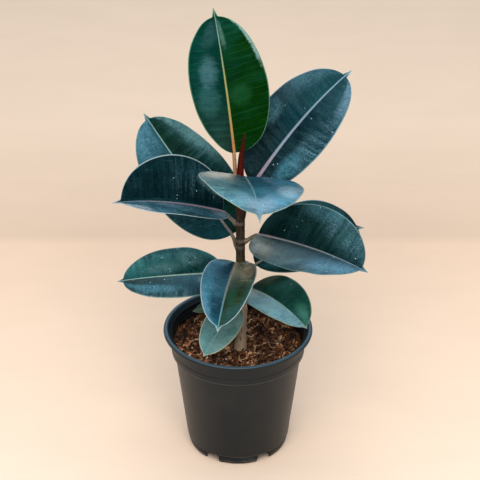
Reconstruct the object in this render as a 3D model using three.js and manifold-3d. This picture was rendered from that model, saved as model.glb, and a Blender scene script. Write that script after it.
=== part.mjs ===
// Potted rubber plant: a young rubber fig with twelve leaves in a 13 cm nursery pot.
// Millimetres, +Z up. The origin is the middle of the pot's foot, on the surface it stands on.
// -Y is the side the plant is seen from.
import * as THREE from 'three';
import Module from 'manifold-3d';

const wasm = await Module();
wasm.setup();

// Driving dimensions

const POT = {
  height: 117,
  rimRadius: 65,            // outside of the lip
  lipWidth: 3,
  lipHeight: 2.8,
  collarTopRadius: 59.8,    // outside of the band under the lip
  collarBottomRadius: 58,
  collarBottom: 94,
  bodyTopRadius: 55.3,      // outside of the tapered body, under the collar's step
  bodyBottomRadius: 45,
  bodyBottom: 8,            // where the wall turns in to the foot
  footRadius: 42.2,
  footRound: 0.1,           // how far the turn bulges out of a straight slope
  wall: 1.3,
  floorBottom: 9.4,         // underside of the drainage floor
  floorTop: 11,
  padRadius: 9,             // middle pad that stands on the table with the foot
  stepTop: 95.3,            // the collar's step on the inside
  stepBottom: 93.5,
  ledges: [113, 109, 105],  // heights of the small steps inside the collar
  ledgeDepth: 0.45,
  sides: 60,
};
const NOTCH = { angles: [0, 58, 122, 180, 238, 302], width: 13.6, height: 7.4, cornerRadius: 2.4 };
const DRAIN = { count: 8, radius: 3.5, circle: 28 };

const SOIL = {
  level: 95,              // height of the soil's surface at the stem
  rise: 5.3,              // how far it climbs to the pot's wall
  tilt: 2.8,              // more of that on the -X side, less on the +X side
  clearance: 0.4,         // to the pot and to the stem
  lump: 1.2,              // how far the crumbs rise and fall
  sides: 44,
  topRings: 8,
};

const STEM = {
  x: 2,                   // where it stands, beside the pot's axis
  planted: 45,            // length in the soil
  height: 171,            // from the soil to the growing tip
  radius: 4.1,            // above the swollen foot
  topRadius: 3.6,
  footSwell: 1.4,
  footSwellReach: 11,
  bow: 1.7,               // how far the stem bows sideways
  bowHeight: 40,
  bowReach: 34,
  nodeSwell: 0.9,         // the thickening under each leaf stalk
  nodeReach: 2.6,
  scars: [23],            // heights of old leaf rings with no leaf
  scarSwell: 0.5,
  sides: 14,
  step: 4,
};

const SHEATH = { length: 40, radius: 2.9, lean: 4, gap: 0.3, sides: 12, rings: 12 };

const BLADE = {
  thickness: 0.8,
  stations: 18,           // steps along the blade
  strips: 3,              // steps across each half
  baseHalfWidth: 0.9,     // the blade's end on the stalk
  tipHalfWidth: 0.4,
  dripHalfWidth: 2.6,     // where the drip tip leaves the blade
};
const STALK = {
  radius: 1.9,            // at the stem
  bladeRadius: 1.5,       // under the blade's base
  tipRadius: 0.45,        // where the midrib runs out
  midribEnd: 0.9,         // of the blade's length
  sides: 6,
  stalkSteps: 6,
  midribSteps: 9,
  stemGap: 0.35,
};

// One row for each leaf, from the top of the plant down. Heights are above the soil and
// places are from the stem's foot. heading is the compass angle the leaf points to, from +X
// towards +Y, and turn is how much it changes along the blade. rise and end are the
// midrib's slopes at the base and at the tip. roll turns the blade about its midrib,
// fold lifts each half from the midrib and arch bends each half back down by its margin.
// late above 1.4 holds the droop back towards the tip. full moves the widest place from the
// base towards the tip as it grows, with 1 for the middle, and skew adds to it on the left
// half and takes it from the right one.
const LEAVES = [
  { node: 159, leave: 62, base: [-5, 6, 190], length: 114, width: 71, drip: 7, heading: 110, turn: 5,
    rise: 71, end: 65, roll: 2, fold: 17, arch: 9, full: 1.04, skew: 0.2 },
  { node: 148, leave: 40, base: [11, 5, 161], length: 119, width: 74, drip: 7, heading: 23, turn: 5,
    rise: 53, end: 32, roll: 21, fold: 11, arch: 10, full: 0.96 },
  { node: 154, leave: 40, base: [4, -22, 183], length: 112, width: 85, drip: 9, heading: -84, turn: -1,
    rise: 20, end: -11, roll: -9, fold: 10, arch: 12, full: 0.78, late: 3.5 },
  { node: 125, leave: 30, base: [-15, 1, 137], length: 101, width: 80, drip: 8, heading: 207, turn: 5,
    rise: 26, end: 12, roll: -31, fold: 39, arch: -1, full: 1 },
  { node: 108, leave: 20, base: [15, -3, 117], length: 119, width: 73, drip: 7, heading: -42, turn: -7,
    rise: 12, end: 2, roll: 26, fold: 25, arch: 7, full: 0.9 },
  { node: 102, leave: 50, base: [-7, 2, 114], length: 124, width: 77, drip: 6, heading: 135, turn: 6,
    rise: 33, end: 45, roll: -14, fold: 7, arch: 16, full: 0.9 },
  { node: 86, leave: 15, base: [13, 1, 85], length: 99, width: 74, drip: 7, heading: 20, turn: 5,
    rise: 25, end: -14, roll: 19, fold: 11, arch: 10, full: 1.16 },
  { node: 84, leave: 40, base: [-3, -10, 93], length: 86, width: 46, drip: 5, heading: -99, turn: -3,
    rise: 13, end: -38, roll: -2, fold: 19, arch: 6, full: 0.9 },
  { node: 72, leave: 20, base: [-13, 2, 76], length: 88, width: 63, drip: 5, heading: 192, turn: -11,
    rise: 4, end: -9, roll: -12, fold: 12, arch: 12, full: 0.9 },
  { node: 58, leave: 30, base: [8, -4, 64], length: 84, width: 49, drip: 3, heading: -61, turn: 9,
    rise: 19, end: -18, roll: 10, fold: 22, arch: 9, full: 0.9 },
  { node: 40, leave: 35, base: [-4, -6, 47], length: 58, width: 31, drip: 3, heading: -115, turn: -5,
    rise: -8, end: -28, roll: -19, fold: 13, arch: 9, full: 0.9 },
  { node: 37, leave: 35, base: [-6, 8, 44], length: 36, width: 24, drip: 3, heading: 173, turn: 0,
    rise: -15, end: -29, roll: 0, fold: 10, arch: 11, full: 0.9 },
];

// Materials

const finish = (color, roughness) => new THREE.MeshStandardMaterial({ color, roughness, metalness: 0 });
const potPlastic = () => finish('#2b2c2e', 0.45);
const pottingMix = () => finish('#4a2c1d', 1);
const bark = () => finish('#5d4a3c', 0.85);
const redSheath = () => finish('#4d0d08', 0.4);
const youngLeaf = () => finish('#0f3f12', 0.22);
const oldLeaf = () => finish('#12383a', 0.25);

// Meshes and booleans

const rad = THREE.MathUtils.degToRad;
const lerp = THREE.MathUtils.lerp;
const gauss = (x) => Math.exp(-x * x);

function indexed(positions, indices) {
  const geometry = new THREE.BufferGeometry();
  geometry.setAttribute('position', new THREE.Float32BufferAttribute(positions, 3));
  geometry.setIndex(indices);
  geometry.computeVertexNormals();
  return geometry;
}

// Closed skin over rings of points. Each ring has the same even number of points, turning
// from the left over the top to the right and back below, seen against the way the rings go.
// The two halves of a ring are split into triangles alike, so a thin plate's faces match.
function loft(rings) {
  const n = rings[0].length;
  const positions = rings.flat().flatMap((p) => [p.x, p.y, p.z]);
  const indices = [];
  for (let j = 0; j + 1 < rings.length; j++) {
    for (let i = 0; i < n; i++) {
      const a = j * n + i;
      const b = j * n + ((i + 1) % n);
      const c = b + n;
      const d = a + n;
      if (i < n / 2) indices.push(a, b, c, a, c, d);
      else indices.push(a, b, d, b, c, d);
    }
  }
  const last = (rings.length - 1) * n;
  for (let i = 0; i < n / 2 - 1; i++) {
    const [a, b, c, d] = [i, i + 1, n - 2 - i, n - 1 - i];
    indices.push(a, c, b, a, d, c);
    indices.push(last + a, last + b, last + c, last + a, last + c, last + d);
  }
  return indexed(positions, indices);
}

// Outline of radius and height that starts and ends on the axis, turned about Z.
function turned(outline, sides) {
  const points = outline.map(([r, z]) => new THREE.Vector2(r, z));
  const lathe = new THREE.LatheGeometry(points, sides);
  lathe.rotateX(Math.PI / 2);
  return lathe;
}

function toSolid(geometry) {
  const at = new Map();
  const vertices = [];
  const position = geometry.getAttribute('position');
  const merged = [];
  for (let i = 0; i < position.count; i++) {
    const p = [position.getX(i), position.getY(i), position.getZ(i)];
    const key = p.map((v) => Math.round(v * 1e4)).join();
    if (!at.has(key)) {
      at.set(key, vertices.length / 3);
      vertices.push(...p);
    }
    merged.push(at.get(key));
  }
  const index = geometry.index ? [...geometry.index.array] : merged.map((_, i) => i);
  const triangles = [];
  for (let i = 0; i < index.length; i += 3) {
    const [a, b, c] = [merged[index[i]], merged[index[i + 1]], merged[index[i + 2]]];
    if (a !== b && b !== c && c !== a) triangles.push(a, b, c);
  }
  return new wasm.Manifold(new wasm.Mesh({
    numProp: 3,
    vertProperties: new Float32Array(vertices),
    triVerts: new Uint32Array(triangles),
  }));
}

function toGeometry(solid) {
  const mesh = solid.getMesh();
  return indexed([...mesh.vertProperties], [...mesh.triVerts]);
}

function cut(body, tools) {
  return toGeometry(tools.reduce((solid, tool) => solid.subtract(toSolid(tool)), toSolid(body)));
}

function mesh(name, geometry, material) {
  const part = new THREE.Mesh(geometry, material);
  part.name = name;
  return part;
}

// Pot

function potOutline() {
  const p = POT;
  const top = p.height;
  const lipBottom = top - p.lipHeight;
  const lipInside = p.rimRadius - p.lipWidth;
  const footInside = p.footRadius - p.wall;
  const footMiddle = lerp(p.footRadius, p.bodyBottomRadius, 0.5 + p.footRound);
  const outline = [
    [0, 0], [p.padRadius, 0], [p.padRadius, p.floorBottom],
    [footInside, p.floorBottom], [footInside, 0], [p.footRadius, 0],
    [footMiddle, p.bodyBottom / 2], [p.bodyBottomRadius, p.bodyBottom],
    [p.bodyTopRadius, p.collarBottom - 0.8], [p.collarBottomRadius, p.collarBottom],
    [p.collarTopRadius, lipBottom], [p.rimRadius - 0.8, lipBottom],
    [p.rimRadius, lipBottom + 0.8], [p.rimRadius, top - 1],
    [p.rimRadius - 1, top], [lipInside + 0.5, top], [lipInside, top - 0.6],
  ];
  p.ledges.forEach((z, i) => {
    const r = p.collarTopRadius - p.wall - i * p.ledgeDepth;
    outline.push([r, z + 0.6], [r - p.ledgeDepth, z]);
  });
  outline.push(
    [p.collarBottomRadius - p.wall, p.stepTop],
    [p.bodyTopRadius - p.wall, p.stepBottom],
    [p.bodyBottomRadius - p.wall, p.floorTop],
    [0, p.floorTop],
  );
  return outline;
}

function notchTool(angle) {
  const { width, height, cornerRadius: c } = NOTCH;
  const shape = new THREE.Shape();
  shape.moveTo(-width / 2, -1);
  shape.lineTo(width / 2, -1);
  shape.lineTo(width / 2, height - c);
  shape.absarc(width / 2 - c, height - c, c, 0, Math.PI / 2, false);
  shape.absarc(-width / 2 + c, height - c, c, Math.PI / 2, Math.PI, false);
  shape.closePath();
  const tool = new THREE.ExtrudeGeometry(shape, { depth: 10, bevelEnabled: false, curveSegments: 3 });
  tool.rotateX(Math.PI / 2);
  tool.translate(0, POT.bodyBottomRadius + 4, 0);
  tool.rotateZ(angle - Math.PI / 2);
  return tool;
}

function drainTool(angle) {
  const tool = new THREE.CylinderGeometry(DRAIN.radius, DRAIN.radius, 8, 12);
  tool.rotateX(Math.PI / 2);
  tool.translate(DRAIN.circle * Math.cos(angle), DRAIN.circle * Math.sin(angle), POT.floorBottom);
  return tool;
}

function around(count, make) {
  return Array.from({ length: count }, (_, i) => make((i / count) * 2 * Math.PI));
}

function potGeometry() {
  const notches = NOTCH.angles.map((angle) => notchTool(rad(angle)));
  const tools = [...notches, ...around(DRAIN.count, drainTool)];
  return cut(turned(potOutline(), POT.sides), tools);
}

// Soil

function crumbs(x, y) {
  return SOIL.lump * (0.5 * Math.sin(0.31 * x + 1.1) * Math.cos(0.27 * y - 0.4)
    + 0.35 * Math.sin(0.63 * x - 0.52 * y) + 0.25 * Math.cos(0.88 * y + 0.35 * x + 2));
}

function soilRing(radius, height, centreX) {
  return Array.from({ length: SOIL.sides }, (_, i) => {
    const a = -(i / SOIL.sides) * 2 * Math.PI;
    const x = centreX + radius * Math.cos(a);
    const y = radius * Math.sin(a);
    return new THREE.Vector3(x, y, typeof height === 'function' ? height(x, y) : height);
  });
}

function soilGeometry() {
  const { level, rise, tilt, clearance, topRings } = SOIL;
  const hole = stemRadius(0) + clearance;
  const edge = POT.collarBottomRadius - POT.wall - clearance;
  const rings = [soilRing(hole, level - STEM.planted - clearance, STEM.x)];
  for (let i = 0; i <= topRings; i++) {
    const t = i / topRings;
    const steady = Math.min(1, 4 * t);
    const surface = (x, y) => level + t * t * (rise - (tilt * x) / edge) + steady * crumbs(x, y);
    rings.push(soilRing(lerp(hole, edge, t), surface, STEM.x * (1 - t)));
  }
  rings.push(soilRing(edge, POT.stepTop + clearance / 2, 0));
  rings.push(soilRing(POT.bodyTopRadius - POT.wall - clearance, POT.stepBottom + clearance / 2, 0));
  rings.push(soilRing(POT.bodyBottomRadius - POT.wall - clearance, POT.floorTop + clearance, 0));
  return loft(rings);
}

// Stem

// Sideways shift of the stem's middle at a height. In the soil it stands straight.
function stemBow(z) {
  const risen = THREE.MathUtils.smoothstep(z, 0, STEM.bowHeight / 2);
  return STEM.bow * risen * gauss((z - STEM.bowHeight) / STEM.bowReach);
}

function stemRadius(z) {
  const { radius, topRadius, height, footSwell, footSwellReach } = STEM;
  const above = Math.max(z, 0);
  return lerp(radius, topRadius, above / height) + footSwell * gauss(above / footSwellReach);
}

const leafSide = ({ base, node }) => Math.atan2(base[1], base[0] - stemBow(node));

function stemSwell(z, angle) {
  const nodes = LEAVES.map((leaf) => {
    const facing = 0.5 + 0.5 * Math.cos(angle - leafSide(leaf));
    return STEM.nodeSwell * gauss((z - leaf.node) / STEM.nodeReach) * (0.25 + 0.75 * facing);
  });
  const scars = STEM.scars.map((scar) => STEM.scarSwell * gauss((z - scar) / (STEM.nodeReach / 2)));
  return Math.max(...nodes, ...scars);
}

function stemRing(z, grow) {
  return Array.from({ length: STEM.sides }, (_, i) => {
    const a = (i / STEM.sides) * 2 * Math.PI;
    const r = stemRadius(z) + stemSwell(z, a) + grow;
    return new THREE.Vector3(stemBow(z) + r * Math.cos(a), r * Math.sin(a), z);
  });
}

function stemHeights() {
  const { planted, height, step } = STEM;
  const even = Array.from({ length: Math.ceil(height / step) }, (_, i) => i * step);
  return [-planted, ...even, height];
}

function stemGeometry(grow = 0) {
  const heights = stemHeights();
  heights[0] -= grow;
  heights[heights.length - 1] += grow;
  return loft(heights.map((z) => stemRing(z, grow)));
}

// Bud sheath

function sheathGeometry() {
  const { length, radius, lean, gap, sides, rings } = SHEATH;
  const bottom = STEM.height + gap;
  return loft(Array.from({ length: rings + 1 }, (_, j) => {
    const t = j / rings;
    const r = Math.max(radius * Math.sqrt(1 - t ** 2.2) * (1 - 0.2 * t), 0.15);
    const x = stemBow(STEM.height) + lean * t * t;
    return Array.from({ length: sides }, (_, i) => {
      const a = (i / sides) * 2 * Math.PI;
      return new THREE.Vector3(x + r * Math.cos(a), r * Math.sin(a), bottom + length * t);
    });
  }));
}

// Leaves

// Half of the blade's width at distance x from its base, with the drip tip past its length.
function halfWidth(leaf, x, side) {
  const { length, width, drip, full, skew = 0 } = leaf;
  const u = Math.min(x / length, 1) ** (full + side * skew);
  const body = width * Math.sqrt(Math.max(u * (1 - u), 0));
  const past = (x - length) / drip;
  const tip = BLADE.dripHalfWidth * (past < 0 ? gauss(past) : 1 - past);
  const least = x < length / 2 ? BLADE.baseHalfWidth : BLADE.tipHalfWidth;
  return Math.max(Math.hypot(body, tip), least);
}

// Midrib point and the blade's directions there: along, to the left and up.
function midrib(leaf) {
  const { base, length, drip, heading, turn, rise, end, roll, late = 1.4 } = leaf;
  const fine = 120;
  const point = new THREE.Vector3(...base);
  const frames = [];
  for (let i = 0; i <= fine; i++) {
    const x = (i / fine) * (length + drip);
    const a = rad(heading + turn * (x / length));
    const e = rad(rise + (end - rise) * (x / length) ** late);
    const along = new THREE.Vector3(Math.cos(e) * Math.cos(a), Math.cos(e) * Math.sin(a), Math.sin(e));
    const left = new THREE.Vector3(-Math.sin(a), Math.cos(a), 0).applyAxisAngle(along, rad(roll));
    const up = along.clone().cross(left);
    frames.push({ x, point: point.clone(), along, left, up });
    point.addScaledVector(along, (length + drip) / fine);
  }
  return (x) => frames[Math.round((x / (length + drip)) * fine)];
}

// Point of the blade's section at v, from -1 at the right margin to 1 at the left one.
// depth is how far it lies under the upper face.
function sectionPoint(leaf, frame, v, depth) {
  const side = Math.sign(v);
  const h = halfWidth(leaf, frame.x, side);
  const fold = rad(leaf.fold);
  const arch = rad(leaf.arch) * Math.abs(v);
  const tilt = fold - arch;
  const bend = rad(leaf.arch);
  const out = (h / bend) * (Math.sin(fold) - Math.sin(tilt));
  const lift = (h / bend) * (Math.cos(tilt) - Math.cos(fold));
  const normal = side === 0 ? 0 : tilt;
  return frame.point.clone()
    .addScaledVector(frame.left, side * (out + depth * Math.sin(normal)))
    .addScaledVector(frame.up, lift - depth * Math.cos(normal));
}

// Stations crowd towards the base and the tip, where the outline turns fastest.
function bladeStations(leaf) {
  const total = leaf.length + leaf.drip;
  const rounded = BLADE.stations - 2;
  const body = Array.from({ length: rounded + 1 }, (_, i) =>
    (leaf.length / 2) * (1 - Math.cos((i / rounded) * Math.PI)));
  return [...body, leaf.length + leaf.drip / 2, total];
}

function bladeGeometry(leaf, frameAt) {
  const steps = Array.from({ length: 2 * BLADE.strips + 1 }, (_, i) => 1 - i / BLADE.strips);
  return loft(bladeStations(leaf).map((x) => {
    const frame = { ...frameAt(x), x };
    const top = steps.map((v) => sectionPoint(leaf, frame, v, 0));
    const bottom = steps.map((v) => sectionPoint(leaf, frame, v, BLADE.thickness)).reverse();
    return [...top, ...bottom];
  }));
}

// The leaf stalk curves from inside the stem to the blade and runs on below it as midrib.
function stalkGeometry(leaf, frameAt) {
  const side = leafSide(leaf);
  const outward = new THREE.Vector3(Math.cos(side), Math.sin(side), 0);
  const leave = outward.clone().multiplyScalar(Math.cos(rad(leaf.leave)));
  leave.z = Math.sin(rad(leaf.leave));
  const start = new THREE.Vector3(stemBow(leaf.node), 0, leaf.node);
  start.addScaledVector(outward, 0.6 * stemRadius(leaf.node));
  const under = (r) => r * 0.55 + BLADE.thickness / 2;
  const first = frameAt(0);
  const end = first.point.clone().addScaledVector(first.up, -under(STALK.bladeRadius));
  const reach = start.distanceTo(end);
  const curve = new THREE.CubicBezierCurve3(
    start,
    start.clone().addScaledVector(leave, 0.4 * reach),
    end.clone().addScaledVector(first.along, -0.35 * reach),
    end,
  );
  const rings = [];
  for (let i = 0; i < STALK.stalkSteps; i++) {
    const t = i / STALK.stalkSteps;
    const along = curve.getTangent(t);
    const up = first.up.clone().addScaledVector(along, -first.up.dot(along)).normalize();
    const left = up.clone().cross(along);
    rings.push(stalkRing(curve.getPoint(t), left, up, lerp(STALK.radius, STALK.bladeRadius, t)));
  }
  for (let i = 0; i <= STALK.midribSteps; i++) {
    const t = i / STALK.midribSteps;
    const frame = frameAt(t * STALK.midribEnd * leaf.length);
    const r = lerp(STALK.bladeRadius, STALK.tipRadius, t) * leafScale(leaf);
    rings.push(stalkRing(frame.point.clone().addScaledVector(frame.up, -under(r)), frame.left, frame.up, r));
  }
  return loft(rings);
}

const leafScale = (leaf) => lerp(0.8, 1, Math.min(leaf.length / 110, 1));

function stalkRing(centre, left, up, radius) {
  return Array.from({ length: STALK.sides }, (_, i) => {
    const a = (i / STALK.sides) * 2 * Math.PI;
    return centre.clone()
      .addScaledVector(left, radius * Math.cos(a))
      .addScaledVector(up, radius * Math.sin(a));
  });
}

function leafGeometry(leaf) {
  const frameAt = midrib(leaf);
  const whole = toSolid(bladeGeometry(leaf, frameAt)).add(toSolid(stalkGeometry(leaf, frameAt)));
  return toGeometry(whole.subtract(toSolid(stemGeometry(STALK.stemGap))));
}

// Assembly

const plant = new THREE.Group();
plant.position.set(STEM.x, 0, SOIL.level);
plant.add(mesh('stem', stemGeometry(), bark()));
plant.add(mesh('bud_sheath', sheathGeometry(), redSheath()));
LEAVES.forEach((leaf, i) => {
  const name = `leaf_${String(i + 1).padStart(2, '0')}`;
  plant.add(mesh(name, leafGeometry(leaf), i === 0 ? youngLeaf() : oldLeaf()));
});

const pottedRubberPlant = new THREE.Group();
pottedRubberPlant.add(mesh('pot', potGeometry(), potPlastic()));
pottedRubberPlant.add(mesh('soil', soilGeometry(), pottingMix()));
pottedRubberPlant.add(plant);

export default pottedRubberPlant;
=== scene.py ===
# Potted rubber plant, built over its frame. Lengths in the dictionaries are millimetres.
import math
import bmesh
import bpy
import numpy as np
from mathutils import Matrix, Vector, noise


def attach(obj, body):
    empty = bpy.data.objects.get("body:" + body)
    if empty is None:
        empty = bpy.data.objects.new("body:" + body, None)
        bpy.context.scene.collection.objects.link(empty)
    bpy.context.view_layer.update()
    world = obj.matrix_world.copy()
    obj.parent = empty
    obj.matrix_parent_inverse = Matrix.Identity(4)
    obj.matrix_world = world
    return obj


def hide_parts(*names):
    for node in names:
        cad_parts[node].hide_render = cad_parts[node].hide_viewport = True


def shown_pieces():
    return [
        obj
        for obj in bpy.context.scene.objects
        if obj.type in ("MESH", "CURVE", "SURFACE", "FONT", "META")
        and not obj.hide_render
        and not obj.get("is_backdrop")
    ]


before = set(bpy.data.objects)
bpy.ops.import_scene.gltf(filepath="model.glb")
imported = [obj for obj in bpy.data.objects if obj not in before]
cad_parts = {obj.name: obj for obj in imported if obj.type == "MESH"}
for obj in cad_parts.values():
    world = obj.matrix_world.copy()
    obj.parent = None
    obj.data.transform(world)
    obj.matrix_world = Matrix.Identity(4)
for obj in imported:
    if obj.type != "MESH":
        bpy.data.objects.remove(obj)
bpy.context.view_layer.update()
scene = bpy.context.scene
mm = 0.001
print("frame:", len(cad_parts), "nodes")


# Object from points in millimetres and faces
def makePiece(name, points, faces, materials, faceMaterial=None, sharp=None):
    data = bpy.data.meshes.new(name)
    data.from_pydata((np.asarray(points, float) * mm).tolist(), [], faces)
    for material in materials:
        data.materials.append(material)
    if faceMaterial is not None:
        data.polygons.foreach_set("material_index", faceMaterial)
    data.shade_smooth()
    if sharp:
        data.set_sharp_from_angle(angle=math.radians(sharp))
    data.update()
    piece = bpy.data.objects.new(name, data)
    scene.collection.objects.link(piece)
    return piece


# The piece goes with the pot and stands for a node of the frame
def settle(piece, node):
    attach(piece, "root")
    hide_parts(node)


def setUv(piece, name, perPoint):
    data = piece.data
    layer = data.uv_layers.new(name=name)
    corners = np.empty(len(data.loops), dtype=np.int32)
    data.loops.foreach_get("vertex_index", corners)
    layer.data.foreach_set("uv", np.asarray(perPoint, float)[corners].ravel())


# Map over the rings of a lofted piece, and the middle points of its two ends
def setRingUv(piece, name, u, v):
    uv = np.stack(np.broadcast_arrays(u, v), 2).reshape(-1, 2)
    setUv(piece, name, np.vstack([uv, uv[:1], uv[-1:]]))


# Skin over equal rings (rings, around, 3) with a fan at each end
def loft(rings):
    rows, around = rings.shape[:2]
    faces = []
    for j in range(rows - 1):
        for i in range(around):
            a, b = j * around + i, j * around + (i + 1) % around
            faces.append((a, b, b + around, a + around))
    first, last, low = rows * around, rows * around + 1, (rows - 1) * around
    for i in range(around):
        faces.append((first, (i + 1) % around, i))
        faces.append((last, low + i, low + (i + 1) % around))
    points = np.vstack([rings.reshape(-1, 3), rings[0].mean(0), rings[-1].mean(0)])
    return points, faces


# Rings of a round rod about its middle line
def rodRings(middle, sideways, upward, radius, sides):
    angle = circle(sides)
    rings = middle[:, None] + sideways[:, None] * (radius[:, None] * np.cos(angle))[..., None]
    return rings + upward[:, None] * (radius[:, None] * np.sin(angle))[..., None]


def circle(sides):
    return np.linspace(0, 2 * math.pi, sides, endpoint=False)


def unit(rows):
    return rows / np.linalg.norm(rows, axis=1)[:, None]


def gauss(x):
    return np.exp(-np.square(x))


def smooth(x, low, high):
    t = np.clip((x - low) / (high - low), 0, 1)
    return t * t * (3 - 2 * t)


# Material tools. Most of them take numbers or sockets and give a socket back.
socketNames = {"rough": "Roughness", "coat": "Coat Weight",
               "specular": "Specular IOR Level", "specularTint": "Specular Tint"}


def newMaterial(name, **constants):
    material = bpy.data.materials.new(name)
    material.use_nodes = True
    shader = material.node_tree.nodes["Principled BSDF"]
    for key, value in constants.items():
        shader.inputs[socketNames[key]].default_value = value
    return material, material.node_tree, shader


def isSocket(value):
    return isinstance(value, bpy.types.NodeSocket)


# The node tree of the first socket among the values
def treeOf(*values):
    return next(value.id_data for value in values if isSocket(value))


def rgba(tone):
    return tone if isSocket(tone) else (*tone, 1)


def node(tree, kind, inputs, **settings):
    made = tree.nodes.new("ShaderNode" + kind)
    for key, value in settings.items():
        setattr(made, key, value)
    for key, value in inputs.items():
        if isSocket(value):
            tree.links.new(value, made.inputs[key])
        else:
            made.inputs[key].default_value = value
    return made


def calc(operation, a, b=0.0, clamp=False):
    return node(treeOf(a, b), "Math", {0: a, 1: b}, operation=operation, use_clamp=clamp).outputs[0]


def add(first, *others):
    for other in others:
        first = calc("ADD", first, other)
    return first


def times(first, *others):
    for other in others:
        first = calc("MULTIPLY", first, other)
    return first


def minus(a, b, clamp=False):
    return calc("SUBTRACT", a, b, clamp)


# 0 below low, 1 above high, eased
def step(value, low, high):
    inputs = {"Value": value, "From Min": low, "From Max": high}
    return node(treeOf(value), "MapRange", inputs, interpolation_type="SMOOTHSTEP").outputs[0]


# 1 below low, 0 above high
def fall(value, low, high):
    return minus(1.0, step(value, low, high))


# 1 up to inner away from the spot, and 0 from reach on
def band(value, spot, inner, reach):
    return fall(calc("ABSOLUTE", minus(value, spot)), inner, reach)


# Vector from three numbers
def join(x, y, z):
    return node(treeOf(x, y, z), "CombineXYZ", {0: x, 1: y, 2: z}).outputs[0]


def blend(factor, a, b, mode="MIX"):
    inputs = {0: factor, 6: rgba(a), 7: rgba(b)}
    return node(treeOf(factor, a, b), "Mix", inputs, data_type="RGBA", blend_type=mode).outputs[2]


# Lighter or darker by a number
def shade(colour, amount):
    return blend(1.0, colour, join(amount, amount, amount), "MULTIPLY")


# Colours at places between 0 and 1
def toneRamp(value, tones):
    ramp = node(treeOf(value), "ValToRGB", {0: value})
    stops = ramp.color_ramp.elements
    stops[0].color, stops[1].color = rgba(tones[0][1]), rgba(tones[-1][1])
    for spot, tone in tones[1:-1]:
        stops.new(spot).color = rgba(tone)
    return ramp.outputs[0]


def uvOf(tree, name):
    return node(tree, "SeparateXYZ", {0: node(tree, "UVMap", {}, uv_map=name).outputs[0]}).outputs


def place(tree, scale=(1, 1, 1), shift=(0, 0, 0)):
    position = node(tree, "TexCoord", {}).outputs["Object"]
    return node(tree, "Mapping", {"Vector": position, "Location": shift, "Scale": scale}).outputs[0]


def heightIn(tree):
    return node(tree, "SeparateXYZ", {0: place(tree)}).outputs[2]


def cloud(vector, scale, detail=3, roughness=0.5):
    inputs = {"Vector": vector, "Scale": scale, "Detail": detail, "Roughness": roughness}
    return node(treeOf(vector), "TexNoise", inputs).outputs[0]


# Round dots in some of the cells of a grid. share is how many cells have one.
def dots(vector, scale, size, share):
    cells = node(treeOf(vector), "TexVoronoi", {"Vector": vector, "Scale": scale})
    pick = node(treeOf(vector), "SeparateXYZ", {0: cells.outputs["Color"]}).outputs
    inside = minus(times(add(pick[1], 0.35), size), cells.outputs["Distance"])
    return times(step(inside, 0, size * 0.4), calc("LESS_THAN", pick[0], share))


# Gives the shader its colour, a bump of a depth in millimetres, and perhaps its roughness
def coatWith(shader, colour, height, strength, depth, rough=None):
    tree = shader.id_data
    tree.links.new(colour, shader.inputs["Base Color"])
    if rough:
        tree.links.new(rough, shader.inputs["Roughness"])
    inputs = {"Height": height, "Strength": strength, "Distance": depth * mm}
    tree.links.new(node(tree, "Bump", inputs).outputs[0], shader.inputs["Normal"])


stemShape = {
    "x": 2, "soilLevel": 95,              # the stem's foot, and where leaf places start
    "planted": 45, "height": 171, "radius": 4.1, "topRadius": 3.6,
    "dome": 2.5, "domeShrink": 0.2,       # the rounded tip
    "footSwell": 1.4, "footReach": 11,
    "bow": 1.7, "bowHeight": 40, "bowReach": 34,
    "nodeSwell": 0.9, "nodeReach": 2.6,
    "ringSwell": 0.22, "ringAbove": 3.2, "ringSlant": 0.8, "ringReach": 0.55,   # left by leaf sheaths
    "oldRings": [23, 31, 51, 65], "oldSwell": 0.308, "oldSlant": 0.7, "oldReach": 0.8,
    "bark": 0.16, "pores": 150, "poreHeight": 0.22,
    "sides": 72, "step": 0.7,
}
# Bark tones from the stem's foot upward. The pale lower stem is partly the bark's own colour and partly
# painted light, making up for the shade that the leaves cast on it.
barkTones = [(0, (0.55, 0.37, 0.245)), (0.28, (0.66, 0.56, 0.43)), (0.5, (0.08, 0.06, 0.036)),
             (0.75, (0.052, 0.035, 0.023)), (0.88, (0.05, 0.03, 0.02)), (1, (0.075, 0.024, 0.016))]

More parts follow.
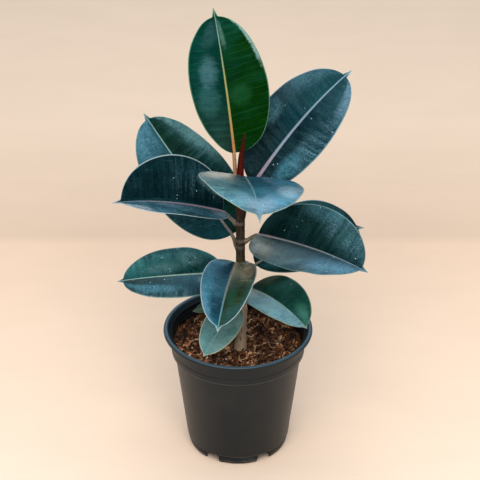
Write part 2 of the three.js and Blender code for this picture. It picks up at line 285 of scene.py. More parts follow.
# Leaves from the top down. node: height on the stem, leave: rise of the stalk there, base: where the
# blade starts. heading (from +X to +Y) and turn, rise and end slopes, roll, fold and arch in degrees.
leafShapes = {
    "leaf_01": dict(node=159, leave=62, base=(-5, 6, 190), length=114, width=71, drip=7, heading=110,
                    turn=5, rise=71, end=65, roll=2, fold=17, arch=9, full=1.04, skew=0.2),
    "leaf_02": dict(node=148, leave=40, base=(11, 5, 161), length=119, width=74, drip=7, heading=23,
                    turn=5, rise=53, end=32, roll=21, fold=11, arch=10, full=0.96),
    "leaf_03": dict(node=154, leave=40, base=(4, -22, 183), length=112, width=85, drip=9, heading=-84,
                    turn=-1, rise=20, end=-11, roll=-9, fold=10, arch=12, full=0.78, late=3.5),
    "leaf_04": dict(node=125, leave=30, base=(-15, 1, 137), length=101, width=80, drip=8, heading=207,
                    turn=5, rise=26, end=12, roll=-31, fold=39, arch=-1, full=1),
    "leaf_05": dict(node=108, leave=20, base=(15, -3, 117), length=119, width=73, drip=7, heading=-42,
                    turn=-7, rise=12, end=2, roll=26, fold=25, arch=7, full=0.9),
    "leaf_06": dict(node=102, leave=50, base=(-7, 2, 114), length=124, width=77, drip=6, heading=135,
                    turn=6, rise=33, end=45, roll=-14, fold=7, arch=16, full=0.9),
    "leaf_07": dict(node=86, leave=15, base=(13, 1, 85), length=99, width=74, drip=7, heading=20,
                    turn=5, rise=25, end=-14, roll=19, fold=11, arch=10, full=1.16),
    "leaf_08": dict(node=84, leave=40, base=(-3, -10, 93), length=86, width=46, drip=5, heading=-99,
                    turn=-3, rise=13, end=-38, roll=-2, fold=19, arch=6, full=0.9),
    "leaf_09": dict(node=72, leave=20, base=(-13, 2, 76), length=88, width=63, drip=5, heading=192,
                    turn=-11, rise=4, end=-9, roll=-12, fold=12, arch=12, full=0.9),
    "leaf_10": dict(node=58, leave=30, base=(8, -4, 64), length=84, width=49, drip=3, heading=-61,
                    turn=9, rise=19, end=-18, roll=10, fold=22, arch=9, full=0.9),
    "leaf_11": dict(node=40, leave=35, base=(-4, -6, 47), length=58, width=31, drip=3, heading=-115,
                    turn=-5, rise=-8, end=-28, roll=-19, fold=13, arch=9, full=0.9),
    "leaf_12": dict(node=37, leave=35, base=(-6, 8, 44), length=36, width=24, drip=3, heading=173,
                    turn=0, rise=-15, end=-29, roll=0, fold=10, arch=11, full=0.9),
}
stemFoot = np.array([stemShape["x"], 0, stemShape["soilLevel"]])


# Sideways shift of the stem's middle
def stemBow(z):
    s = stemShape
    return s["bow"] * smooth(z, 0, s["bowHeight"] / 2) * gauss((z - s["bowHeight"]) / s["bowReach"])


def stemRadius(z):
    s = stemShape
    above = np.maximum(z, 0)
    plain = s["radius"] + (s["topRadius"] - s["radius"]) * above / s["height"]
    return plain + s["footSwell"] * gauss(above / s["footReach"])


def leafSide(leaf):
    return math.atan2(leaf["base"][1], leaf["base"][0] - float(stemBow(leaf["node"])))


def barkMaterial():
    material, tree, shader = newMaterial("barkSkin", rough=0.78, specular=0.08)
    height = heightIn(tree)
    ramp = toneRamp(step(height, 0.095, 0.262), barkTones)
    blotch = cloud(place(tree, (1, 1, 0.45)), 160, 4, 0.6)
    colour = blend(step(blotch, 0.42, 0.68), ramp, blend(0.07, ramp, (0.3, 0.25, 0.2)))
    streak = cloud(place(tree, (1, 1, 0.12)), 900, 3)
    furrow = blend(1.0, colour, (0.4, 0.32, 0.26), "MULTIPLY")
    colour = blend(step(streak, 0.48, 0.72), colour, furrow)
    for leaf in leafShapes.values():       # pale rings over the nodes
        ring = band(height, (stemShape["soilLevel"] + leaf["node"] + 2) * mm, 0.0003, 0.0024)
        colour = blend(times(ring, blotch, 0.6), colour, (0.34, 0.25, 0.21))
    pores = dots(place(tree, (1, 1, 0.8)), 480, 0.24, 0.35)
    colour = blend(times(pores, 0.3), colour, (0.36, 0.29, 0.23))
    coatWith(shader, colour, add(streak, blotch), 0.35, 0.3)
    return material


def buildStem():
    s = stemShape
    rng = np.random.default_rng(11)
    z = np.concatenate([np.arange(-s["planted"], s["height"], s["step"]), [s["height"]]])
    rows, angle = z[:, None], circle(s["sides"])
    r = stemRadius(rows) + np.zeros(len(angle))
    swell = np.zeros_like(r)
    for leaf in leafShapes.values():
        facing = 0.5 + 0.5 * np.cos(angle - leafSide(leaf))
        bulge = s["nodeSwell"] * gauss((rows - leaf["node"]) / s["nodeReach"]) * (0.25 + 0.75 * facing)
        slant = leaf["node"] + s["ringAbove"] - s["ringSlant"] * facing
        swell = np.maximum(swell, bulge) + s["ringSwell"] * gauss((rows - slant) / s["ringReach"])
    for old in s["oldRings"]:
        slant = old + s["oldSlant"] * np.cos(angle - old)
        swell += s["oldSwell"] * gauss((rows - slant) / s["oldReach"])
    r = r + swell
    for i, height in enumerate(z):
        for j, a in enumerate(angle):
            spot = Vector((2.2 * math.cos(a), 2.2 * math.sin(a), height * 0.1))
            r[i, j] += s["bark"] * noise.noise(spot * 2.2) + 0.5 * s["bark"] * noise.noise(spot * 7)
    for _ in range(s["pores"]):
        at, turn = rng.uniform(0, s["height"] - 12), rng.uniform(0, 2 * math.pi)
        away = (np.mod(angle - turn + math.pi, 2 * math.pi) - math.pi) * 4
        near = gauss((rows - at) / rng.uniform(0.35, 0.6)) * gauss(away / rng.uniform(0.4, 0.9))
        r += s["poreHeight"] * near
    r = r * (1 - s["domeShrink"] * smooth(rows, s["height"] - s["dome"], s["height"]))
    ring = np.empty((len(z), len(angle), 3))
    ring[:, :, 0] = s["x"] + stemBow(rows) + r * np.cos(angle)
    ring[:, :, 1] = r * np.sin(angle)
    ring[:, :, 2] = s["soilLevel"] + rows
    points, faces = loft(ring)
    settle(makePiece("stem_wood", points, faces, [barkMaterial()]), "stem")
    print("stem: done")


buildStem()


# Bud sheath on the growing tip. Its overlapping edge winds up it.
sheathShape = {
    "length": 40, "radius": 2.9, "lean": 4, "gap": 0.3, "tipRadius": 0.12,
    "sides": 40, "rings": 60,
    "wrap": 0.07, "wind": 1.1, "start": 2.2, "seam": 0.14 / 3, "seamWidth": 0.16,
}


def sheathMaterial():
    material, tree, shader = newMaterial("sheathSkin", rough=0.42, specular=0.2,
                                         specularTint=(1, 0.6, 0.5, 1))
    streak = cloud(place(tree, (1, 1, 0.08)), 1100, 3)
    colour = blend(step(heightIn(tree), 0.266, 0.306), (0.07, 0.002, 0.001), (0.042, 0.008, 0.003))
    colour = blend(step(streak, 0.45, 0.75), colour, (0.05, 0.004, 0.003))
    coatWith(shader, colour, streak, 0.2, 0.2)
    return material


def buildSheath():
    s, full = sheathShape, 2 * math.pi
    t = (np.linspace(0, 1, s["rings"] + 1) ** 0.9)[:, None]
    angle = circle(s["sides"])
    r = np.maximum(s["radius"] * np.sqrt(1 - t ** 2.2) * (1 - 0.2 * t), s["tipRadius"])
    turn = angle - s["start"] - s["wind"] * t
    groove = gauss((np.mod(turn + 0.25, full) - 0.25) / s["seamWidth"])
    r = r * (1 + s["wrap"] * np.mod(turn, full) / full - s["seam"] * groove)
    ring = np.empty((len(t), len(angle), 3))
    middle = stemFoot[0] + float(stemBow(stemShape["height"])) + s["lean"] * t * t
    ring[:, :, 0] = middle + r * np.cos(angle)
    ring[:, :, 1] = r * np.sin(angle)
    ring[:, :, 2] = stemFoot[2] + stemShape["height"] + s["gap"] + s["length"] * t
    points, faces = loft(ring)
    settle(makePiece("sheath_skin", points, faces, [sheathMaterial()]), "bud_sheath")
    print("bud sheath: done")


buildSheath()


bladeShape = {
    "thickness": 0.8, "marginThickness": 0.45, "baseHalf": 0.9, "tipHalf": 0.4, "dripHalf": 2.6,
    "pathSteps": 120, "stations": 150, "columns": 20, "marginBulge": 0.18,
    "crease": 0.5, "creaseWidth": 1.3,        # fills the sharp bottom of the fold
    "channel": 0.3, "channelWidth": 2.4,      # shallow trough along the midrib
    "veinSpacing": 5.5, "veinLean": 0.16,
    "mapSpan": 100,                           # millimetres to one unit of the vein and edge maps
}
stalkShape = {
    "radius": 1.9, "bladeRadius": 1.5, "tipRadius": 0.45, "ribEnd": 0.9,
    "sunk": 0.6, "stemHold": 0.4, "bladeHold": 0.35, "below": 0.55,   # shares of stem, reach and radius
    "flare": 0.35, "flareReach": 2.2, "sides": 16, "stalkRings": 28, "ribRings": 44,
}
# Upper face. Pairs are for the left and the right half, seen from the base: tone, pale film and the
# warm patch near the base. The two tones differ partly by painted light; the pale film is waxy bloom and
# painted cool sheen, and the warm patch a painted warm reflection. dust: amount, how far along and across
# (0 right margin, 1 left margin). rib: the midrib's tones at the base, middle and tip. core: how much less
# film lies along the midrib, and how much painted shade darkens the blade there. patches: place along and
# across (-1 right margin, 1 left margin), reach, width, amount and tone; they are painted highlights,
# reflections and shade.
# A leaf has the plain values, apart from those that its own rows give.
plainLook = dict(bloomAndSheen=(0, 0), warmReflection=(0, 0), core=0.3, specks=0.12, mottle=0.4, streak=0.3, scratch=0,
                 rough=0.27, gloss=0.37, grain=0.4, wave=0.8, ripple=0.02, patches=[])
leafLooks = {
    "leaf_01": dict(
        tone=((0.001, 0.028, 0.018), (0.0015, 0.022, 0.0003)), warmReflection=(0.04, 0), core=0.2,
        rib=((0.48, 0.17, 0.05), (0.36, 0.31, 0.09), (0.18, 0.3, 0.26)), ribWidth=0.85,
        stalk=(0.38, 0.19, 0.08), dust=(0, 0.5, 0.5), specks=0, mottle=0.25, streak=0.6,
        edge=(0.1, 0.22, 0.14), rough=0.2, gloss=0.15, grain=0.25, wave=1.1, ripple=0.03,
        patches=[(0.41, 0.6, 0.16, 0.5, 0.45, (0.04, 0.14, 0.14)),
                 (0.63, 0.45, 0.15, 0.42, 0.45, (0.09, 0.21, 0.24)),
                 (0.88, 0.35, 0.13, 0.5, 0.35, (0.04, 0.12, 0.13)),
                 (0.82, -0.98, 0.26, 0.14, 0.8, (0.24, 0.38, 0.36)),
                 (0.88, -0.12, 0.16, 0.14, 0.4, (0.1, 0.22, 0.17)),
                 (0.42, -0.3, 0.12, 0.4, 0.6, (0.01, 0.07, 0.02))]),
    "leaf_02": dict(
        tone=((0.003, 0.008, 0.009), (0.003, 0.012, 0.015)), bloomAndSheen=(0.05, 0.06), core=0.6,
        rib=((0.28, 0.19, 0.22), (0.2, 0.23, 0.28), (0.18, 0.26, 0.32)), ribWidth=1.25,
        stalk=(0.3, 0.1, 0.07), dust=(0.75, 0.45, 0.1), specks=0.35, mottle=1, edge=(0.16, 0.24, 0.28),
        rough=0.29, gloss=0.26, grain=0.5, wave=0.9,
        patches=[(0.47, 0.75, 0.14, 0.4, 0.6, (0.05, 0.13, 0.16)),
                 (0.25, -0.62, 0.2, 0.4, 0.5, (0.05, 0.18, 0.24)),
                 (0.92, -0.85, 0.3, 0.35, 0.4, (0.15, 0.25, 0.33)),
                 (0.85, 0.85, 0.35, 0.5, 0.2, (0.09, 0.18, 0.24)),
                 (0.5, -0.15, 0.25, 0.3, 0.7, (0.001, 0.006, 0.008)),
                 (0.52, 0.3, 0.16, 0.3, 0.7, (0.001, 0.005, 0.008))]),
    "leaf_03": dict(
        tone=((0.012, 0.056, 0.084), (0.04, 0.095, 0.105)), bloomAndSheen=(0.15, 0.15), warmReflection=(0, 0.2), core=0.8,
        rib=((0.08, 0.13, 0.14), (0.12, 0.17, 0.17), (0.1, 0.19, 0.24)), ribWidth=0.6,
        stalk=(0.25, 0.12, 0.06), dust=(0.15, 0.3, 0.1), mottle=0.7, streak=0.8, edge=(0.28, 0.3, 0.26),
        ripple=0.03,
        patches=[(0.6, 0.75, 0.24, 0.4, 0.5, (0.26, 0.34, 0.38)),
                 (0.62, 0.15, 0.3, 0.32, 0.8, (0.02, 0.08, 0.11)),
                 (0.12, -0.15, 0.22, 0.32, 0.9, (0.01, 0.04, 0.05)),
                 (0.62, -0.15, 0.3, 0.28, 0.5, (0.02, 0.09, 0.12)),
                 (0.12, -0.65, 0.42, 0.45, 0.9, (0.3, 0.31, 0.27)),
                 (0.92, 0.1, 0.2, 0.9, 0.8, (0.13, 0.18, 0.22)),
                 (0.98, 0.95, 0.14, 0.25, 0.5, (0.1, 0.13, 0.14))]),
    "leaf_04": dict(
        tone=((0.01, 0.044, 0.06), (0.0005, 0.008, 0.011)), bloomAndSheen=(0.42, 0.02), core=0.4,
        rib=((0.34, 0.22, 0.24), (0.24, 0.16, 0.19), (0.16, 0.2, 0.24)), ribWidth=0.75,
        stalk=(0.2, 0.15, 0.12), dust=(0.3, 0.3, 0.2), specks=0.35, mottle=0.8, streak=0, scratch=0.15,
        edge=(0.36, 0.42, 0.42), rough=0.25,
        patches=[(0.08, 0.6, 0.18, 0.6, 0.6, (0.17, 0.22, 0.26)),
                 (0.5, 0.85, 0.24, 0.5, 0.8, (0.01, 0.03, 0.03)),
                 (0.94, 0.7, 0.16, 0.5, 0.7, (0.3, 0.34, 0.36)),
                 (0.6, 0.2, 0.2, 0.22, 0.5, (0.12, 0.2, 0.26)),
                 (0.3, -0.25, 0.25, 0.35, 0.7, (0.0005, 0.004, 0.004)),
                 (0.18, -0.7, 0.16, 0.3, 0.8, (0.08, 0.15, 0.16))]),
    "leaf_05": dict(
        tone=((0.001, 0.012, 0.009), (0.002, 0.01, 0.018)), bloomAndSheen=(0.05, 0.36), warmReflection=(0, 0.3), core=0.95,
        rib=((0.26, 0.18, 0.19), (0.2, 0.18, 0.18), (0.14, 0.18, 0.2)), ribWidth=0.8,
        stalk=(0.2, 0.14, 0.08), dust=(0.65, 0.8, 0.85), specks=0.35, mottle=1, streak=0.25,
        edge=(0.12, 0.2, 0.2), gloss=0.24, grain=0.5,
        patches=[(0.88, 0.55, 0.4, 0.7, 0.3, (0.04, 0.12, 0.14)),
                 (0.5, 0.95, 0.3, 0.4, 0.5, (0.05, 0.14, 0.17)),
                 (0.35, -0.2, 0.6, 0.42, 1, (0.001, 0.006, 0.01)),
                 (0.12, -0.7, 0.25, 0.4, 0.6, (0.2, 0.2, 0.19)),
                 (0.9, -0.5, 0.35, 0.6, 0.3, (0.1, 0.22, 0.31))]),
    "leaf_06": dict(
        tone=((0.002, 0.028, 0.034), (0.0005, 0.01, 0.001)), bloomAndSheen=(0.26, 0.06),
        rib=((0.26, 0.2, 0.17), (0.22, 0.26, 0.22), (0.2, 0.3, 0.28)), ribWidth=0.9,
        stalk=(0.19, 0.15, 0.12), dust=(0.4, 0.75, 0.12), mottle=0.8, streak=0.25, edge=(0.14, 0.2, 0.2),
        gloss=0.15,
        patches=[(0.92, 0.55, 0.3, 0.7, 0.45, (0.07, 0.19, 0.26)),
                 (0.78, -0.9, 0.4, 0.45, 0.75, (0.09, 0.19, 0.19)),
                 (0.45, -0.5, 0.3, 0.5, 0.9, (0.0005, 0.006, 0.001))]),
    "leaf_07": dict(
        tone=((0.001, 0.008, 0.006), (0.001, 0.014, 0.011)), bloomAndSheen=(0, 0.02),
        rib=((0.25, 0.2, 0.16), (0.22, 0.22, 0.18), (0.2, 0.22, 0.2)), ribWidth=0.8,
        stalk=(0.24, 0.13, 0.09), dust=(0.15, 0.6, 0.6), mottle=0.6, edge=(0.2, 0.26, 0.24), gloss=0.25),
    "leaf_08": dict(
        tone=((0.015, 0.024, 0.006), (0.003, 0.03, 0.056)), bloomAndSheen=(0, 0.27), warmReflection=(0.5, 0), core=0.5,
        rib=((0.24, 0.16, 0.12), (0.18, 0.15, 0.12), (0.12, 0.24, 0.26)), ribWidth=1.1,
        stalk=(0.24, 0.14, 0.08), dust=(0.4, 0.6, 0.1), specks=0.3, mottle=0.7, streak=0.25,
        edge=(0.42, 0.45, 0.45), rough=0.25, wave=0.7,
        patches=[(0.27, 0.62, 0.28, 0.4, 0.9, (0.2, 0.155, 0.095)),
                 (0.3, 0.12, 0.4, 0.14, 0.6, (0.05, 0.06, 0.04)),
                 (0.65, 0.95, 0.25, 0.3, 0.8, (0.01, 0.04, 0.03)),
                 (0.65, -0.8, 0.4, 0.4, 0.5, (0.04, 0.18, 0.26)),
                 (0.06, -0.4, 0.13, 0.6, 0.8, (0.01, 0.03, 0.03)),
                 (0.7, 0.3, 0.2, 0.3, 0.5, (0.01, 0.07, 0.04)),
                 (0.82, -0.9, 0.3, 0.35, 0.5, (0.1, 0.24, 0.34))]),
    "leaf_09": dict(
        tone=((0.002, 0.012, 0.014), (0.007, 0.054, 0.047)), bloomAndSheen=(0.02, 0.16), core=0.9,
        rib=((0.34, 0.42, 0.3), (0.34, 0.42, 0.32), (0.26, 0.36, 0.3)), ribWidth=0.8,
        stalk=(0.24, 0.16, 0.1), dust=(0.8, 0.6, 0.97), specks=0.45, mottle=0.9, streak=0.5,
        edge=(0.18, 0.26, 0.24), rough=0.26, gloss=0.16, grain=0.5, ripple=0.03,
        patches=[(0.75, 0.6, 0.42, 0.32, 0.5, (0.06, 0.19, 0.25)),
                 (0.47, 0.98, 0.28, 0.24, 0.9, (0.01, 0.03, 0.03)),
                 (0.45, 0.1, 0.34, 0.3, 0.8, (0.003, 0.02, 0.02)),
                 (0.33, -0.6, 0.18, 0.4, 0.7, (0.09, 0.2, 0.21)),
                 (0.6, -0.95, 0.32, 0.25, 0.9, (0.005, 0.03, 0.025)),
                 (0.6, -0.3, 0.3, 0.3, 0.4, (0.09, 0.18, 0.19)),
                 (0.95, -0.3, 0.2, 0.6, 0.6, (0.01, 0.06, 0.06)),
                 (0.2, 0.3, 0.14, 0.3, 0.6, (0.12, 0.2, 0.22))]),
    "leaf_10": dict(
        tone=((0.002, 0.036, 0.02), (0.115, 0.175, 0.15)), bloomAndSheen=(0.05, 0.5), warmReflection=(0, 0.35), core=0.2,
        rib=((0.26, 0.3, 0.28), (0.22, 0.26, 0.2), (0.2, 0.28, 0.22)), ribWidth=0.6,
        stalk=(0.24, 0.16, 0.1), dust=(0.15, 0.8, 0.6), mottle=0.5, edge=(0.22, 0.24, 0.16), rough=0.28,
        wave=0.7,
        patches=[(0.08, 0.6, 0.16, 0.7, 0.8, (0.002, 0.008, 0.004)),
                 (0.9, 0.45, 0.22, 0.5, 0.6, (0.05, 0.17, 0.12)),
                 (0.5, -0.95, 0.4, 0.16, 0.7, (0.08, 0.12, 0.08)),
                 (0.2, -0.5, 0.24, 0.4, 0.8, (0.26, 0.3, 0.27))]),
    "leaf_11": dict(
        tone=((0.12, 0.215, 0.197), (0.11, 0.23, 0.228)), bloomAndSheen=(0.1, 0.1), core=0.1,
        rib=((0.22, 0.3, 0.24), (0.22, 0.32, 0.26), (0.2, 0.32, 0.28)), ribWidth=0.6,
        stalk=(0.26, 0.2, 0.12), dust=(0.15, 0.5, 0.5), specks=0.1, streak=0.1, edge=(0.46, 0.42, 0.26),
        rough=0.34, wave=0.5,
        patches=[(0.2, 0.7, 0.28, 0.5, 0.7, (0.22, 0.32, 0.29)),
                 (0.5, 0.6, 0.2, 0.4, 0.4, (0.05, 0.13, 0.13))]),
    "leaf_12": dict(
        tone=((0.02, 0.05, 0.028), (0.02, 0.05, 0.028)), core=0,
        rib=((0.2, 0.18, 0.1), (0.2, 0.18, 0.1), (0.2, 0.18, 0.1)), ribWidth=0.8,
        stalk=(0.24, 0.16, 0.1), dust=(0.1, 0.5, 0.5), specks=0, edge=(0.16, 0.15, 0.08), rough=0.4,
        wave=0.5),
}
# Tones of the pale film, which is waxy bloom and painted cool sheen, and of the painted warm reflection
bloomAndSheenTone, warmReflectionTone = (0.12, 0.26, 0.33), (0.25, 0.22, 0.17)
dustTone, speckTone = (0.14, 0.27, 0.33), (0.5, 0.66, 0.7)


# Points and directions down the middle of the blade, in even steps
def midribPath(leaf):
    total, steps = leaf["length"] + leaf["drip"], bladeShape["pathSteps"]
    x = np.linspace(0, total, steps + 1)
    t = x / leaf["length"]
    a = np.radians(leaf["heading"] + leaf["turn"] * t)
    e = np.radians(leaf["rise"] + (leaf["end"] - leaf["rise"]) * t ** leaf.get("late", 1.4))
    along = np.stack([np.cos(e) * np.cos(a), np.cos(e) * np.sin(a), np.sin(e)], 1)
    flat = np.stack([-np.sin(a), np.cos(a), 0 * a], 1)
    roll = math.radians(leaf["roll"])
    left = flat * math.cos(roll) + np.cross(along, flat) * math.sin(roll)
    point = np.array(leaf["base"]) + np.cumsum(np.vstack([np.zeros(3), along[:-1]]), 0) * (total / steps)
    return x, np.hstack([point, along, left, np.cross(along, left)])


# Point, along, left and up at places along the midrib
def midribAt(path, x):
    return np.split(np.stack([np.interp(x, path[0], column) for column in path[1].T], 1), 4, 1)


# From the midrib to the margin on the left (1) or the right (-1)
def halfWidth(leaf, x, side):
    b, length = bladeShape, leaf["length"]
    u = np.minimum(x / length, 1) ** (leaf["full"] + side * leaf.get("skew", 0))
    body = leaf["width"] * np.sqrt(np.maximum(u * (1 - u), 0))
    past = (x - length) / leaf["drip"]
    tip = b["dripHalf"] * np.where(past < 0, gauss(past), 1 - past)
    return np.maximum(np.hypot(body, tip), np.where(x < length / 2, b["baseHalf"], b["tipHalf"]))[:, None]


# Gentle uneven swells over the blade
def swells(rng, x, y):
    total = 0
    for _ in range(9):
        turn, length = rng.uniform(0, 2 * math.pi), rng.uniform(16, 55)
        phase = (x * math.cos(turn) + y * math.sin(turn)) * 2 * math.pi / length
        total = total + np.sin(phase + rng.uniform(0, 2 * math.pi)) * length / 110
    return total / 2


# Place on the blade in millimetres, along and across, and the side veins there
def veinPlace(tree):
    vein = uvOf(tree, "veinMap")
    x, y = times(vein[0], bladeShape["mapSpan"]), times(minus(vein[1], 0.5), bladeShape["mapSpan"])
    return x, y, minus(x, times(calc("ABSOLUTE", y), bladeShape["veinLean"]))


def veinLines(phase):
    return fall(calc("PINGPONG", phase, bladeShape["veinSpacing"] / 2), 0.0, 0.6)


def leafTopMaterial(name, leaf, look):
    material, tree, shader = newMaterial(name + "_top", rough=look["rough"], specular=look["gloss"],
                                         specularTint=(0.08, 0.86, 1, 1))
    x, y, phase = veinPlace(tree)
    edge = uvOf(tree, "edgeMap")
    t, v = calc("DIVIDE", x, leaf["length"]), minus(times(edge[0], 2.0), 1.0)
    side = step(y, -0.8, 0.8)
    inPlace = place(tree, shift=(0.0037 * leaf["node"], 0.001 * leaf["heading"], 0))
    surface = join(x, y, 0.01 * leaf["heading"])

    def bySide(pair):
        return add(times(side, pair[0] - pair[1]), pair[1])

    mottle, fine = cloud(inPlace, 75, 7, 0.72), cloud(surface, 0.5, 4, 0.75)
    # streaks along the side veins, which lean to the tip
    phase = add(phase, times(cloud(surface, 0.06, 2), 4.0))
    flow = join(times(phase, 0.5), times(y, 0.035), 0.01 * leaf["node"])
    streak = cloud(flow, 1.0, 5, 0.62)
    # each half its own tone; the difference between the halves is partly painted light
    colour = blend(side, look["tone"][1], look["tone"][0])
    colour = blend(times(veinLines(phase), 0.03), colour, (0.16, 0.26, 0.24))
    # pale film of waxy bloom and painted cool sheen, more of it to the tip, and a painted warm reflection
    # near the base
    toMargin = step(calc("ABSOLUTE", v), 0.1, 0.65)
    outer = add(times(toMargin, look["core"]), 1 - look["core"])
    broad = step(cloud(inPlace, 34, 6, 0.7), 0.36, 0.62)
    bloomAndSheen = times(bySide(look["bloomAndSheen"]), add(times(broad, 0.8), 0.2), add(times(t, 0.8), 0.25), outer)
    colour = blend(times(bloomAndSheen, add(streak, 0.5)), colour, bloomAndSheenTone)
    inner = times(step(edge[0], 0.0, 0.14), fall(edge[0], 0.86, 1.0))
    warmReflection = times(bySide(look["warmReflection"]), fall(t, 0.08, 0.55), outer, add(times(inner, 0.6), 0.4))
    colour = blend(warmReflection, colour, warmReflectionTone)
    # painted shade darkens the blade along the midrib, as much as core gives
    colour = shade(colour, minus(1.0, times(minus(1.0, toMargin), 0.45 * look["core"])))
    # soft patches with torn edges: painted highlights, painted reflections and painted shade
    torn = times(minus(add(streak, mottle), 1.0), 1.6)
    for along, across, reach, width, amount, tone in look["patches"]:
        dx, dy = times(minus(t, along), 1 / reach), times(minus(v, across), 1 / width)
        inside = fall(add(times(dx, dx), times(dy, dy), torn), 0.0, 1.0)
        colour = blend(times(inside, inside, amount), colour, tone)
    # blotches, and light and dark streaks along the side veins that are partly painted highlights
    uneven = add(times(mottle, 0.55), times(fine, 0.45))
    light = blend(step(uneven, 0.38, 0.62), (0.42, 0.46, 0.47), (1.85, 1.66, 1.6))
    colour = blend(look["mottle"], colour, light, "MULTIPLY")
    light = blend(step(streak, 0.34, 0.66), (0.6, 0.64, 0.66), (1.6, 1.5, 1.45))
    colour = blend(look["streak"], colour, light, "MULTIPLY")
    # dust in torn clouds of fine grains, thickest at its own place on the leaf
    amount, alongAt, acrossAt = look["dust"]
    dx, dy = minus(t, alongAt), minus(edge[0], acrossAt)
    thickest = fall(add(times(dx, dx, 7.0), times(dy, dy, 14.0)), 0.0, 0.9)
    clouds = step(cloud(flow, 0.5, 6, 0.72), 0.40, 0.66)
    grain = step(cloud(surface, 0.7, 5, 0.8), 0.46, 0.60)
    dust = times(clouds, add(times(grain, 0.85), 0.15), add(times(thickest, 0.85), 0.15), amount)
    colour = blend(calc("MINIMUM", dust, 0.8), colour, dustTone)
    colour = blend(times(dots(surface, 0.34, 0.16, 0.3 * look["specks"]), 0.8), colour, speckTone)
    if look["scratch"]:
        inputs = {"Vector": surface, "Rotation": (0, 0, 0.9), "Scale": (0.05, 1.2, 1)}
        lines = step(cloud(node(tree, "Mapping", inputs).outputs[0], 1.0, 2, 0.4), 0.64, 0.72)
        patch = step(cloud(surface, 0.05, 2), 0.46, 0.6)
        colour = blend(times(lines, patch, look["scratch"]), colour, (0.26, 0.38, 0.44))
    # midrib and margin
    half = times(add(times(minus(1.0, times(t, 0.93), True), 1.1), 0.35), look["ribWidth"])
    rib = step(minus(half, calc("ABSOLUTE", y)), -0.3, 0.3)
    ribTone = blend(step(t, 0.02, 0.4), look["rib"][0], look["rib"][1])
    ribTone = blend(step(t, 0.45, 0.95), ribTone, look["rib"][2])
    colour = blend(times(rib, 0.85), colour, ribTone)
    colour = blend(times(fall(edge[1], 0.003, 0.010), 0.75), colour, look["edge"])
    rough = add(times(mottle, 0.16), look["rough"] - 0.07, times(dust, 0.4), times(rib, 0.12))
    height = add(times(streak, 1.2), times(cloud(surface, 0.35, 3), 0.8))
    coatWith(shader, colour, height, look["grain"], 0.12, rough)
    return material


def leafBackMaterial():
    material, tree, shader = newMaterial("leafBack", rough=0.55, specular=0.4)
    veins = veinLines(veinPlace(tree)[2])
    mottle = step(cloud(place(tree), 120, 4, 0.6), 0.35, 0.65)
    colour = blend(mottle, (0.045, 0.085, 0.035), (0.075, 0.125, 0.055))
    colour = blend(times(veins, 0.5), colour, (0.16, 0.22, 0.11))
    coatWith(shader, colour, veins, 0.4, 0.15)
    return material


def stalkMaterial(name, look):
    material, tree, shader = newMaterial(name + "_rib", rough=0.42, specular=0.5, coat=0.1)
    t = uvOf(tree, "alongMap")[0]
    streak = cloud(place(tree), 420, 3)
    rib = blend(step(t, 0.5, 0.72), look["rib"][0], look["rib"][1])
    colour = blend(step(t, 0.42, 0.56), look["stalk"], rib)
    dark = tuple(0.4 * value for value in look["stalk"])
    colour = blend(times(step(streak, 0.45, 0.7), 0.6), colour, dark)
    coatWith(shader, colour, streak, 0.2, 0.2)
    return material


